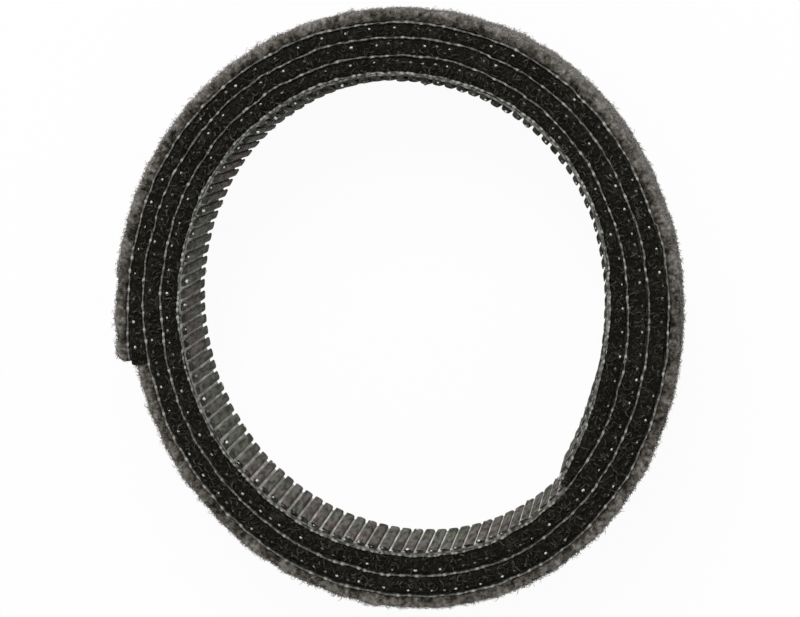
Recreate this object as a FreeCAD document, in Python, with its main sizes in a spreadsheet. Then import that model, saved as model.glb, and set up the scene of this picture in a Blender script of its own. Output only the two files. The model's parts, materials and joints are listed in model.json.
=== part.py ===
import FreeCAD, Part
import math
import os
from collections import namedtuple

import Sketcher
from FreeCAD import Placement, Rotation, Vector

# A length of back-to-back hook-and-loop strap, rolled up and lying on one edge.
#
# The strap is three layers: loop tape on the outside, a bond film, and hook tape on the
# inside. The roll's axis is +Z. Every layer is an offset of one path, the middle of the film,
# which is a chain of tangent arcs. An angle along the path is the direction of its outward
# normal, in degrees: it grows from the inner end of the strap to the outer end, by 360 for
# each wrap. The outermost half wrap and the innermost few centimetres are cut into short
# flaps, where the strap peels off the roll.

# Driving dimensions, in millimetres and degrees.
SIZES = {
    # the strap's section
    "strap_width": 16.0,
    "film_thickness": 0.24,
    "hook_base": 0.22,
    "hook_height": 0.66,
    "hook_row_pitch": 1.5,
    "hook_row_width": 0.8,
    "loop_pressed": 0.77,
    "loop_free": 1.25,
    # how the wraps lie on each other
    "wrap_clearance": 0.12,
    "slack_shift": 0.24,
    "slack_direction": -52.4,
    # the oval that the wraps follow
    "core_radius": 26.52,
    "oval_two": 4.03,
    "oval_two_angle": 8.9,
    "oval_three": 1.72,
    "oval_three_angle": -5.1,
    "oval_four": 1.65,
    "oval_four_angle": -1.7,
    # the two ends of the strap
    "inner_end": -41.0,
    "outer_end": 1270.3,
    "inner_end_flatness": 1.3,
    "outer_end_flatness": 1.6,
    "end_step_gap": 1.0,
    # the stretches that peel
    "outer_flap_count": 12,
    "inner_flap_count": 4,
    "flex_step": 14.5,
    "flex_range": 30.0,
    "flex_gap": 0.05,
}

FULL_TURN = 360.0
TINY = 1e-6
AXIS = Vector(0, 0, 1)

# The path's stretches, in order, and the two sides of the strap.
INNER_FLAPS, COVERED_WRAPS, OPEN_WRAP, OUTER_FLAPS = range(4)
INSIDE, OUTSIDE = -1, 1

LAYERS = ("hook_tape", "bond_film", "loop_tape")

Arc = namedtuple("Arc", "centre radius start end")
Flap = namedtuple("Flap", "name arc squeezed_side loop_cell")
Value = namedtuple("Value", "number formula")


# ---------------------------------------------------------------- path


def wrap_pitch(size):
    """Mean distance from one wrap to the next."""
    stack = size["film_thickness"] + size["hook_base"] + size["hook_height"] + size["loop_pressed"]
    return stack + size["wrap_clearance"] + size["slack_shift"]


def bend_radius(size, angle):
    """Radius of the film where its outward normal points at this angle."""
    spiral = size["core_radius"] + wrap_pitch(size) * angle / FULL_TURN
    two = size["oval_two"] * math.cos(2 * math.radians(angle - size["oval_two_angle"]))
    three = size["oval_three"] * math.cos(3 * math.radians(angle - size["oval_three_angle"]))
    four = size["oval_four"] * math.cos(4 * math.radians(angle - size["oval_four_angle"]))
    slack = size["slack_shift"] / math.pi * math.sin(math.radians(size["slack_direction"] - angle))
    return spiral + two + three + four + slack


def polar(radius, angle):
    turn = math.radians(angle)
    return Vector(radius * math.cos(turn), radius * math.sin(turn), 0)


def split(start, end, step):
    """Equal spans of at most one step each."""
    count = max(1, math.ceil((end - start) / step - TINY))
    width = (end - start) / count
    return [(start + width * i, start + width * (i + 1)) for i in range(count)]


def path_spans(size):
    """The angles of the path's arcs, stretch by stretch."""
    step = size["flex_step"]
    inner_hinge = size["inner_end"] + step * size["inner_flap_count"]
    outer_hinge = size["outer_end"] - step * size["outer_flap_count"]
    under_end = size["outer_end"] - FULL_TURN
    covered_end = under_end + math.degrees(size["end_step_gap"] / bend_radius(size, under_end))
    stops = [size["inner_end"], inner_hinge, covered_end, outer_hinge, size["outer_end"]]
    return [split(start, end, step) for start, end in zip(stops, stops[1:])]


def lay_arcs(size):
    """The film as tangent arcs, stretch by stretch. The arc at each free end is flatter."""
    spans = path_spans(size)
    point = Vector(0, 0, 0)
    stretches = []
    for stretch in spans:
        arcs = []
        for start, end in stretch:
            radius = bend_radius(size, (start + end) / 2)
            if (start, end) == spans[INNER_FLAPS][0]:
                radius *= size["inner_end_flatness"]
                start = end - (end - start) / size["inner_end_flatness"]
            elif (start, end) == spans[OUTER_FLAPS][-1]:
                radius *= size["outer_end_flatness"]
                end = start + (end - start) / size["outer_end_flatness"]
            centre = point - polar(radius, start)
            point = centre + polar(radius, end)
            arcs.append(Arc(centre, radius, start, end))
        stretches.append(arcs)
    return stretches


def arc_reach(arc, direction, offset):
    """How far an arc, moved out by the offset, reaches in a direction given in degrees."""
    facing = direction + math.ceil((arc.start - direction) / FULL_TURN) * FULL_TURN
    angles = [facing] if facing <= arc.end else [arc.start, arc.end]
    along = polar(1, direction)
    return max((arc.centre + polar(arc.radius + offset, a)).dot(along) for a in angles)


def strap_arcs(size):
    """The film's arcs, with the middle of the whole roll at the origin."""
    stretches = lay_arcs(size)
    outer_face = size["film_thickness"] / 2 + size["loop_free"]
    outside = stretches[OPEN_WRAP] + stretches[OUTER_FLAPS]
    reach = [max(arc_reach(arc, side, outer_face) for arc in outside) for side in (0, 90, 180, 270)]
    middle = Vector((reach[0] - reach[2]) / 2, (reach[1] - reach[3]) / 2, 0)
    return [[arc._replace(centre=arc.centre - middle) for arc in arcs] for arcs in stretches]


def strap_flaps(stretches):
    """The flaps of each end from its hinge on the roll outwards, with the side that closes up."""
    flaps = []
    for number, arc in enumerate(stretches[OUTER_FLAPS], start=1):
        flaps.append(Flap(f"outer_flap_{number:02d}", arc, OUTSIDE, "loop_free"))
    for number, arc in enumerate(reversed(stretches[INNER_FLAPS]), start=1):
        flaps.append(Flap(f"inner_flap_{number:02d}", arc, INSIDE, "loop_pressed"))
    return flaps


# ---------------------------------------------------------------- layers


def layer_faces(size, layer, loop_cell):
    """A layer's inner and outer face, by their distance out from the middle of the film."""
    film_inside = Value(-size["film_thickness"] / 2, "-sizes.film_thickness / 2")
    film_outside = Value(size["film_thickness"] / 2, "sizes.film_thickness / 2")
    if layer == "bond_film":
        return film_inside, film_outside
    if layer == "hook_tape":
        number = film_inside.number - size["hook_base"]
        return Value(number, f"{film_inside.formula} - sizes.hook_base"), film_inside
    number = film_outside.number + size[loop_cell]
    return film_outside, Value(number, f"{film_outside.formula} + sizes.{loop_cell}")


def hinge_gap(size, face, squeezed_side):
    """Gap from a layer's end to the hinge plane, wedged open on the side that closes up."""
    depth = face.number * squeezed_side
    if depth <= 0:
        return Value(size["flex_gap"], "sizes.flex_gap")
    number = size["flex_gap"] + depth * math.tan(math.radians(size["flex_range"] / 2))
    wedge = f"{squeezed_side} * ({face.formula}) * tan(sizes.flex_range / 2 * 1 deg)"
    return Value(number, f"sizes.flex_gap + {wedge}")


def row_count(size, arc):
    """How many hook rows stand on one arc, evenly spaced."""
    length = arc.radius * math.radians(arc.end - arc.start)
    return max(2, round(length / size["hook_row_pitch"]))


# ---------------------------------------------------------------- document


def make_sheet(doc, size, flaps):
    """The driving dimensions, and after them the bend that each flap has at rest."""
    cells = dict(size)
    for flap in flaps:
        cells[f"{flap.name}_radius"] = flap.arc.radius
        cells[f"{flap.name}_turn"] = flap.arc.end - flap.arc.start
    sheet = doc.addObject("Spreadsheet::Sheet", "sizes")
    for row, (name, value) in enumerate(cells.items(), start=1):
        sheet.set(f"A{row}", name)
        sheet.set(f"B{row}", str(value))
        sheet.setAlias(f"B{row}", name)
    doc.recompute()


def new_body(doc, name):
    body = doc.addObject("PartDesign::Body", name)
    body.Label = name
    return body


def new_sketch(body, name):
    """A sketch on the body's own XY plane."""
    plane = next(f for f in body.Origin.OriginFeatures if f.Role == "XY_Plane")
    sketch = body.newObject("Sketcher::SketchObject", f"{body.Name}_{name}")
    sketch.AttachmentSupport = (plane, [""])
    sketch.MapMode = "FlatFace"
    return sketch


def pad_across(body, sketch):
    """Pad a sketch over the strap's whole width."""
    pad = body.newObject("PartDesign::Pad", f"{sketch.Name}_pad")
    pad.Profile = sketch
    pad.Refine = False
    pad.setExpression("Length", "sizes.strap_width")
    return pad


def constrain(sketch, constraint, formula):
    """Add a dimension to a sketch and bind it to the sheet."""
    index = sketch.addConstraint(constraint)
    sketch.setExpression(f"Constraints[{index}]", formula)


# ---------------------------------------------------------------- roll


def face_arcs(size, arcs, face):
    """The arcs of one face of the roll, cut back from the hinge planes at its two ends."""
    cut = [arc._replace(radius=arc.radius + face.number) for arc in arcs]
    inner_gap = hinge_gap(size, face, INSIDE).number / cut[0].radius
    outer_gap = hinge_gap(size, face, OUTSIDE).number / cut[-1].radius
    cut[0] = cut[0]._replace(start=cut[0].start + math.degrees(inner_gap))
    cut[-1] = cut[-1]._replace(end=cut[-1].end - math.degrees(outer_gap))
    return cut


def arc_edges(arcs):
    circles = [Part.Circle(arc.centre, AXIS, arc.radius) for arc in arcs]
    turns = [(math.radians(arc.start), math.radians(arc.end)) for arc in arcs]
    return [Part.ArcOfCircle(circle, *turn) for circle, turn in zip(circles, turns)]


def start_of(arcs):
    return arcs[0].centre + polar(arcs[0].radius, arcs[0].start)


def end_of(arcs):
    return arcs[-1].centre + polar(arcs[-1].radius, arcs[-1].end)


def lines(*points):
    return [Part.LineSegment(a, b) for a, b in zip(points, points[1:])]


def row_corners(size, arc, base_face):
    """The corners of one arc's hook rows, each row a block with parallel sides."""
    foot = arc.radius + base_face.number
    tip = foot - size["hook_height"]
    foot_half = math.degrees(math.asin(size["hook_row_width"] / 2 / foot))
    tip_half = math.degrees(math.asin(size["hook_row_width"] / 2 / tip))
    corners = []
    for start, end in split(arc.start, arc.end, (arc.end - arc.start) / row_count(size, arc)):
        middle = (start + end) / 2
        corners.append(arc.centre + polar(foot, middle - foot_half))
        corners.append(arc.centre + polar(tip, middle - tip_half))
        corners.append(arc.centre + polar(tip, middle + tip_half))
        corners.append(arc.centre + polar(foot, middle + foot_half))
    return corners


def roll_outline(size, layer, covered, open_wrap):
    """The closed outline of one layer of the wraps that stay rolled."""
    arcs = covered + open_wrap
    inner_face, outer_face = layer_faces(size, layer, "loop_pressed")
    inner = face_arcs(size, arcs, inner_face)
    outer = face_arcs(size, arcs, outer_face)
    inner_edges = arc_edges(inner)
    outer_edges = arc_edges(outer)
    if layer == "hook_tape":
        corners = [corner for arc in arcs for corner in row_corners(size, arc, inner_face)]
        inner_edges = lines(start_of(inner), *corners, end_of(inner))
    if layer == "loop_tape":
        free_face = layer_faces(size, layer, "loop_free")[1]
        pressed = outer[:len(covered)]
        outer = face_arcs(size, arcs, free_face)[len(covered):]
        outer_edges = arc_edges(pressed) + lines(end_of(pressed), start_of(outer)) + arc_edges(outer)
        outer = pressed[:1] + outer
    ends = lines(start_of(inner), start_of(outer)) + lines(end_of(inner), end_of(outer))
    return inner_edges + outer_edges + ends


def add_roll_layer(doc, size, layer, stretches):
    """One layer of the roll: its outline, padded. The roll itself is laid out about the origin."""
    body = new_body(doc, f"roll_{layer}")
    outline = new_sketch(body, "outline")
    edges = roll_outline(size, layer, stretches[COVERED_WRAPS], stretches[OPEN_WRAP])
    outline.addGeometry(edges, False)
    pad_across(body, outline)
    body.Placement = Placement()
    return body


# ---------------------------------------------------------------- flaps


def draw_sector(sketch, size, flap, faces):
    """A sector of a ring about the origin, even about +X, between the layer's two faces."""
    arcs = []
    for face in faces:
        radius = flap.arc.radius + face.number
        radius_formula = f"(sizes.{flap.name}_radius + {face.formula})"
        gap = hinge_gap(size, face, flap.squeezed_side)
        half = math.radians(flap.arc.end - flap.arc.start) / 2 - gap.number / radius
        half_formula = f"sizes.{flap.name}_turn / 2 * 1 deg - ({gap.formula}) / {radius_formula} * 1 rad"
        circle = Part.Circle(Vector(0, 0, 0), AXIS, radius)
        arc = sketch.addGeometry(Part.ArcOfCircle(circle, -half, half))
        sketch.addConstraint(Sketcher.Constraint("Coincident", arc, 3, -1, 1))
        sketch.addConstraint(Sketcher.Constraint("Symmetric", arc, 1, arc, 2, -1))
        constrain(sketch, Sketcher.Constraint("Radius", arc, radius), radius_formula)
        rise = Sketcher.Constraint("DistanceY", -1, 1, arc, 2, radius * math.sin(half))
        constrain(sketch, rise, f"{radius_formula} * sin({half_formula})")
        arcs.append(arc)
    for corner in (1, 2):
        ends = [sketch.getPoint(arc, corner) for arc in arcs]
        line = sketch.addGeometry(Part.LineSegment(*ends))
        sketch.addConstraint(Sketcher.Constraint("Coincident", arcs[0], corner, line, 1))
        sketch.addConstraint(Sketcher.Constraint("Coincident", arcs[1], corner, line, 2))


def draw_row(sketch, size, flap, base_face):
    """The section of one hook row across +X, rooted half way into the hook tape's base."""
    foot = flap.arc.radius + base_face.number
    foot_formula = f"sizes.{flap.name}_radius + {base_face.formula}"
    near = foot - size["hook_height"]
    far = foot + size["hook_base"] / 2
    half = size["hook_row_width"] / 2
    corners = [Vector(near, -half), Vector(far, -half), Vector(far, half), Vector(near, half)]
    bottom, right, top, left = (
        sketch.addGeometry(Part.LineSegment(a, b)) for a, b in zip(corners, corners[1:] + corners[:1])
    )
    for first, second in ((bottom, right), (right, top), (top, left), (left, bottom)):
        sketch.addConstraint(Sketcher.Constraint("Coincident", first, 2, second, 1))
    sketch.addConstraint(Sketcher.Constraint("Horizontal", bottom))
    sketch.addConstraint(Sketcher.Constraint("Horizontal", top))
    sketch.addConstraint(Sketcher.Constraint("Vertical", right))
    sketch.addConstraint(Sketcher.Constraint("Symmetric", left, 1, left, 2, -1))
    near_distance = Sketcher.Constraint("DistanceX", -1, 1, bottom, 1, near)
    constrain(sketch, near_distance, f"{foot_formula} - sizes.hook_height")
    far_distance = Sketcher.Constraint("DistanceX", -1, 1, bottom, 2, far)
    constrain(sketch, far_distance, f"{foot_formula} + sizes.hook_base / 2")
    width = Sketcher.Constraint("DistanceY", right, 1, right, 2, 2 * half)
    constrain(sketch, width, "sizes.hook_row_width")


def add_rows(body, size, flap, base_face):
    """The hook rows of one flap: the first one padded, the rest in a polar pattern."""
    turn = flap.arc.end - flap.arc.start
    count = row_count(size, flap.arc)
    sketch = new_sketch(body, "row")
    first_row = turn / count / 2 - turn / 2
    sketch.AttachmentOffset = Placement(Vector(0, 0, 0), Rotation(AXIS, first_row))
    draw_row(sketch, size, flap, base_face)
    row = pad_across(body, sketch)
    pattern = body.newObject("PartDesign::PolarPattern", f"{body.Name}_rows")
    pattern.Originals = [row]
    pattern.Axis = (sketch, ["N_Axis"])
    pattern.Occurrences = count
    pattern.Angle = turn - turn / count
    pattern.Refine = False
    body.Tip = pattern


def add_flap_layer(doc, size, flap, layer):
    """One layer of one flap, drawn about the centre of the flap's arc and then put in place."""
    body = new_body(doc, f"{flap.name}_{layer}")
    faces = layer_faces(size, layer, flap.loop_cell)
    sector = new_sketch(body, "sector")
    draw_sector(sector, size, flap, faces)
    pad_across(body, sector)
    if layer == "hook_tape":
        add_rows(body, size, flap, faces[0])
    body.Placement = Placement(flap.arc.centre, Rotation(AXIS, (flap.arc.start + flap.arc.end) / 2))
    return body


# ---------------------------------------------------------------- build


def check(doc, bodies):
    """Stop if a feature failed or a body has no sound solid."""
    for item in doc.Objects:
        if "Invalid" in item.State or "Error" in item.State:
            raise RuntimeError(f"{item.Name} failed: {item.State}")
    for body in bodies:
        if body.Shape.isNull() or not body.Shape.isValid() or len(body.Shape.Solids) != 1:
            raise RuntimeError(f"{body.Label} is not one sound solid")


def main():
    doc = FreeCAD.newDocument("strap_roll")
    stretches = strap_arcs(SIZES)
    flaps = strap_flaps(stretches)
    make_sheet(doc, SIZES, flaps)
    bodies = [add_roll_layer(doc, SIZES, layer, stretches) for layer in LAYERS]
    bodies += [add_flap_layer(doc, SIZES, flap, layer) for flap in flaps for layer in LAYERS]
    doc.recompute()
    check(doc, bodies)
    os.makedirs("parts", exist_ok=True)
    for body in bodies:
        body.Shape.exportStep(f"parts/{body.Label}.step")


main()
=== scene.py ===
import json
import math
from collections import namedtuple

import bmesh
import bpy
import numpy as np
from bpy.props import FloatProperty, FloatVectorProperty, IntProperty, PointerProperty
from mathutils import Matrix, Vector, noise

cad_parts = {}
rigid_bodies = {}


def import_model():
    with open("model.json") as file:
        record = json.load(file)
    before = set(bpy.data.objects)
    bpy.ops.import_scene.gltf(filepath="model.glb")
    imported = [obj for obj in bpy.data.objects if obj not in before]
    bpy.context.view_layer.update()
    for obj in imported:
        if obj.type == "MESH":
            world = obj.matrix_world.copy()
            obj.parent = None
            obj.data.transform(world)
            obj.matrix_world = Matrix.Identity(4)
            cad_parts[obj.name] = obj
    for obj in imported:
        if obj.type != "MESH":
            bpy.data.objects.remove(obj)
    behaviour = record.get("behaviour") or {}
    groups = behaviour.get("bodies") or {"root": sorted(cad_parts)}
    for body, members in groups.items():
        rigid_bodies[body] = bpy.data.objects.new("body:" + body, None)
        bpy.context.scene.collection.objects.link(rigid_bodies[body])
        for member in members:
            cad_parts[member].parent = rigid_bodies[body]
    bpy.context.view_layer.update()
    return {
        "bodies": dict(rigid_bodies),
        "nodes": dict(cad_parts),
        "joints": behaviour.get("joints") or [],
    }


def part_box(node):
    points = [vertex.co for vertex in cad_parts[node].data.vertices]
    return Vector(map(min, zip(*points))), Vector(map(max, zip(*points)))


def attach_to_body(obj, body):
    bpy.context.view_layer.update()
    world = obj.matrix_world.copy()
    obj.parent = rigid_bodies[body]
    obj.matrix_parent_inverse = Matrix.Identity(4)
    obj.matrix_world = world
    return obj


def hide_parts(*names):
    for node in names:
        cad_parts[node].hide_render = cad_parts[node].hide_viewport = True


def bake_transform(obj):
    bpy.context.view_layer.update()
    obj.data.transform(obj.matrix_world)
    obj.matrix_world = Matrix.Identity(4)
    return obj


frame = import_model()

bl_info = {
    "name": "Hook-and-Loop Strap Roll",
    "version": (1, 0, 0),
    "blender": (4, 5, 0),
    "location": "View3D > Sidebar > Strap",
    "description": "Dresses a rolled back-to-back hook-and-loop strap: pile, film and hook rows",
    "category": "Add Mesh",
}

MM = 0.001

# A stretch of the strap that is one piece of each layer. It rides on one body, or lies
# between a parent and a child body, with bend_from and bend_to two places along the strap.
Span = namedtuple("Span", "stem start stop parent child bend_from bend_to")


# ---- the strap's path


def upper_outline(node):
    """The corners of a CAD node's upper face, in order around it."""
    shape = bmesh.new()
    shape.from_mesh(frame["nodes"][node].data)
    bmesh.ops.remove_doubles(shape, verts=shape.verts, dist=1e-7)
    shape.normal_update()
    lit_rim = [e for e in shape.edges if sum(f.normal.z > 0.9 for f in e.link_faces) == 1]
    following = {}
    for edge in lit_rim:
        a, b = edge.verts
        following.setdefault(a, []).append(b)
        following.setdefault(b, []).append(a)
    first = lit_rim[0].verts[0]
    loop = [first]
    here, there = first, following[first][0]
    while there is not first:
        loop.append(there)
        onward = [v for v in following[there] if v is not here][0]
        here, there = there, onward
    points = np.array([v.co.xy[:] for v in loop])
    shape.free()
    return points


def outer_side(outline):
    """The longer of an outline's two long sides, from the strap's inner end to its outer."""
    ahead = np.roll(outline, -1, axis=0) - outline
    heading = np.arctan2(ahead[:, 1], ahead[:, 0])
    turn = (heading - np.roll(heading, 1) + math.pi) % (2 * math.pi) - math.pi
    corners = np.sort(np.argsort(-np.abs(turn))[:4])
    sides = []
    for a, b in zip(corners, np.roll(corners, -1)):
        stop = b if b > a else b + len(outline)
        sides.append(outline[np.arange(a, stop + 1) % len(outline)])
    lengths = [np.hypot(*np.diff(side, axis=0).T).sum() for side in sides]
    side = sides[int(np.argmax(lengths))]
    winding = np.cross(side[:-1], side[1:]).sum()
    return (side if winding > 0 else side[::-1]), min(lengths)


# How far the innermost wrap is pressed out against the next: at its tip, fading out along
# the strap, and again in a dip past it.
TIP_PRESS, TIP_REACH, TIP_FADE = 1.3 * MM, 11 * MM, 1.3
DIP_PRESS, DIP_START, DIP_LENGTH = 0.65 * MM, 14 * MM, 46 * MM


def lying_close(along):
    """How much further out the strap lies than its CAD model, at a distance along it."""
    tip = TIP_PRESS * np.clip(1 - along / TIP_REACH, 0, 1) ** TIP_FADE
    dip = DIP_PRESS * np.sin(math.pi * np.clip((along - DIP_START) / DIP_LENGTH, 0, 1)) ** 2
    return tip + dip


class StrapPath:
    """The middle of the bond film, from the strap's inner end to its outer end."""

    step = 0.2 * MM
    smoothing = 8  # steps either side of each point of the running mean
    same_wrap = 100 * MM  # places nearer than this along the strap are on one wrap
    most_room = 4 * MM

    def __init__(self, bodies):
        sides = [outer_side(upper_outline(f"{body}_bond_film")) for body in bodies]
        self.film = sides[0][1]
        points = np.concatenate([side for side, _ in sides])
        run = np.concatenate([[0], np.cumsum(np.hypot(*np.diff(points, axis=0).T))])
        self.length = run[-1]
        self.along = np.linspace(0, self.length, int(self.length / self.step) + 1)
        line = np.stack([np.interp(self.along, run, points[:, i]) for i in (0, 1)], axis=1)
        heading = self.smoothed(np.unwrap(np.arctan2(*np.gradient(line, axis=0).T[::-1])))
        self.facing = heading - math.pi / 2
        outward = np.stack([np.cos(self.facing), np.sin(self.facing)], axis=1)
        self.line = line + outward * (lying_close(self.along)[:, None] - self.film / 2)

    def smoothed(self, values):
        """A running mean, carried straight on past both ends."""
        reach = self.smoothing
        before = values[0] + (values[1] - values[0]) * np.arange(-reach, 0)
        after = values[-1] + (values[-1] - values[-2]) * np.arange(1, reach + 1)
        padded = np.concatenate([before, values, after])
        return np.convolve(padded, np.ones(2 * reach + 1) / (2 * reach + 1), mode="valid")

    def place(self, along, out, up):
        """Points at a distance along the strap, out from the film's middle, and up its width."""
        facing = np.interp(along, self.along, self.facing)
        x = np.interp(along, self.along, self.line[:, 0]) + np.cos(facing) * out
        y = np.interp(along, self.along, self.line[:, 1]) + np.sin(facing) * out
        return np.stack([x, y, np.broadcast_to(up, np.shape(x))], axis=-1)

    def nearest(self, point):
        return self.along[np.argmin(np.hypot(*(self.line - np.array(point[:2])).T))]

    def beside(self, tip):
        """The place on the neighbouring wrap that lies beside the strap's tip 0 or -1."""
        gaps = np.hypot(*(self.line - self.line[tip]).T)
        gaps[np.abs(self.along - self.along[tip]) < self.same_wrap] = np.inf
        return self.along[np.argmin(gaps)]

    def room(self, along, way):
        """The distance to the next wrap outside (way 1) or inside (way -1), within a limit."""
        turn = math.pi * np.mean(np.ptp(self.line, axis=0))
        rooms = []
        for at in along:
            near = np.abs(self.along - at - way * turn) < turn * 0.3
            gaps = self.line[near] - self.place(at, 0.0, 0.0)[:2]
            rooms.append(min(np.hypot(*gaps.T), default=self.most_room))
        return np.minimum(rooms, self.most_room)


# How far back from its hinge a bend starts, as a share of the way to the middle of the
# stretch before it. A longer lead would push that stretch into the wrap it peels off.
BEND_LEAD = 0.25


def strap_spans():
    """The roll and one span for each hinge, lying between its two bodies, each ending half way along a
    flap.
    """
    hinges = {joint["child"]: PATH.nearest(joint["pos_m"]) for joint in frame["joints"]}
    outer = sorted(body for body in hinges if body.startswith("outer"))
    inner = sorted(body for body in hinges if body.startswith("inner"))
    half = (hinges[outer[1]] - hinges[outer[0]]) / 2
    spans = [Span("roll", hinges[inner[0]] + half, hinges[outer[0]] - half, "roll", None, 0, 0)]
    for flaps, way, tip in ((outer, 1, PATH.length), (inner, -1, 0.0)):
        root, here = "roll", hinges[flaps[0]] - half * way
        for flap, following in zip(flaps, flaps[1:] + [None]):
            middle = (hinges[flap] + (hinges[following] if following else tip)) / 2
            stop = middle if following else tip
            bend = hinges[flap] + BEND_LEAD * (here - hinges[flap])
            spans.append(Span(flap, min(here, stop), max(here, stop), root, flap, bend, middle))
            root, here = flap, middle
    return spans


BODIES = sorted(frame["bodies"])
INNER = [body for body in BODIES if body.startswith("inner")]
OUTER = [body for body in BODIES if body.startswith("outer")]
PATH = StrapPath(INNER[::-1] + ["roll"] + OUTER)
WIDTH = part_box("roll_bond_film")[1].z
SPANS = strap_spans()


# ---- settings


def length_property(name, description, default):
    return FloatProperty(name=name, description=description, default=default, unit="LENGTH", precision=5)


def colour_property(name, description, default):
    return FloatVectorProperty(
        name=name, description=description, default=default, subtype="COLOR", size=3, min=0, max=1
    )


class StrapSizes(bpy.types.PropertyGroup):
    """Sizes of the strap's surface detail; its overall size comes from the CAD model."""

    pile_rise: length_property("Pile rise", "Height of the brushed pile's body, free", 1.28 * MM)
    edge_gap: length_property("Edge gap", "From a covered pile's edge to the next film", 0.33 * MM)
    hook_gap: length_property("Hook gap", "From a covered pile's middle to the next film", 0.95 * MM)
    tuft_size: length_property("Tuft size", "Width of the tufts that the pile gathers in", 0.7 * MM)
    tuft_depth: length_property("Tuft depth", "How far the tufts stand out", 0.2 * MM)
    lump_size: length_property("Lump size", "Width of the lumps in the free pile", 2.2 * MM)
    lump_depth: length_property("Lump depth", "How far the lumps stand out", 0.26 * MM)
    fibre_length: length_property("Fibre length", "Length of the fibres on the free pile", 0.55 * MM)
    fibre_width: length_property("Fibre width", "Thickness of one fibre", 0.075 * MM)
    strand_width: length_property("Strand width", "Thickness of a covered edge's strands", 0.17 * MM)
    row_pitch: length_property("Row pitch", "From one hook row to the next", 1.5 * MM)
    hook_height: length_property("Hook height", "Height of a hook above its base", 0.53 * MM)
    hook_pitch: length_property("Hook pitch", "From one hook to the next in a row", 0.6 * MM)
    hook_width: length_property("Hook width", "Width of one hook along its row", 0.42 * MM)
    tip_scatter: length_property("Tip scatter", "How far a hook's end may lie out of line", 0.13 * MM)
    base_thickness: length_property("Hook base", "Thickness of the hooks' base", 0.26 * MM)
    film_thickness: length_property("Film thickness", "Thickness of the film's cut edge", 0.19 * MM)
    film_jog: length_property("Film jog", "How far the film's cut edge wanders", 0.14 * MM)
    fibre_density: FloatProperty(
        name="Fibre density", description="Fibres on a square metre of free pile", default=11e6
    )
    seed: IntProperty(name="Seed", description="Seed of everything scattered", default=7)


class StrapColours(bpy.types.PropertyGroup):
    """Colours of the strap, linear; some are painted light and shade, as marked."""

    # Painted light: the palest tone, on the free pile's outer face and the tops of its tufts.
    lit_rim: colour_property("Rim", "Palest fibres, at the rim of the free pile", (0.26, 0.25, 0.232))
    fibre: colour_property("Fibre", "Free pile", (0.108, 0.097, 0.084))
    # Painted shade: the free pile near the film and in the hollows between tufts.
    ground_shade: colour_property("Ground", "Free pile at the film and between tufts", (0.036, 0.032, 0.025))
    # Painted shade: the covered pile's edges, nearly black as in the next wrap's shade; the pile there
    # is also pressed.
    pressed: colour_property("Pressed", "Pile at a covered wrap's edges", (0.0095, 0.0084, 0.0058))
    strand: colour_property("Strand", "Lighter fibres at those edges", (0.05, 0.046, 0.037))
    film: colour_property("Film", "Cut edge of the bond film", (0.1, 0.099, 0.089))
    hook: colour_property("Hook", "Hook rows", (0.13, 0.121, 0.106))
    # Painted shade: dark cut ends of the hooks, and the base's edge where a wrap is covered.
    hook_end_shade: colour_property("Hook end", "Cut ends of the hooks", (0.026, 0.026, 0.023))
    base: colour_property("Hook base", "Base that the hooks stand on", (0.5, 0.5, 0.46))
    base_edge: colour_property("Base edge", "Cut edge of the hooks' base", (0.14, 0.14, 0.125))
    # Painted glint: near-white on the tip beads, standing in for highlights on the hooks' tips.
    glint: colour_property("Hook tip", "Cut tips of the hooks at the strap's edges", (0.85, 0.85, 0.82))


# ---- mesh helpers


def ring_mesh(name, rings):
    """A closed skin over rings of points, one ring after another, with a face at each end."""
    count, around = rings.shape[:2]
    index = np.arange(count * around).reshape(count, around)
    near, far = index[:-1], index[1:]
    quads = np.stack([near, np.roll(near, -1, 1), np.roll(far, -1, 1), far], axis=-1).reshape(-1, 4)
    faces = quads.tolist() + [index[0][::-1].tolist(), index[-1].tolist()]
    mesh = bpy.data.meshes.new(name)
    mesh.from_pydata(rings.reshape(-1, 3).tolist(), [], faces)
    mesh.update()
    return mesh


def facing_out(mesh):
    """Turn a closed mesh's faces round if its volume is inside out."""
    shape = bmesh.new()
    shape.from_mesh(mesh)
    if shape.calc_volume(signed=True) < 0:
        bmesh.ops.reverse_faces(shape, faces=shape.faces)
    shape.to_mesh(mesh)
    shape.free()


def store(mesh, name, values):
    """Keep a value for every vertex of a mesh, as a named attribute."""
    layer = mesh.attributes.new(name, "FLOAT", "POINT")
    layer.data.foreach_set("value", np.asarray(values).astype(np.float32).reshape(-1))


def new_object(name, mesh):
    piece = bpy.data.objects.new(name, mesh)
    bpy.context.scene.collection.objects.link(piece)
    return piece


def stations(span, step):
    """Places along a span, on a grid that is the same for the whole strap."""
    first, last = math.ceil(span.start / step), math.floor(span.stop / step)
    inner = [i * step for i in range(first, last + 1) if span.start < i * step < span.stop]
    return np.array([span.start] + inner + [span.stop])


def ripple(along, up, size, seed):
    """Smooth noise from -1 to 1 over the strap's length and width."""
    points = np.stack(np.broadcast_arrays(along, up), axis=-1).reshape(-1, 2) / size
    values = [noise.noise((a, b, seed)) for a, b in points]
    return np.array(values).reshape(np.broadcast(along, up).shape)


def attach(piece, span, layer):
    """Let a finished piece move with its body; a piece between two bodies is baked where it lies."""
    if span.child is None:
        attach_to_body(piece, span.parent)
    else:
        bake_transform(piece)
    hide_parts(f"{span.stem}_{layer}")


# ---- node helpers


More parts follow.
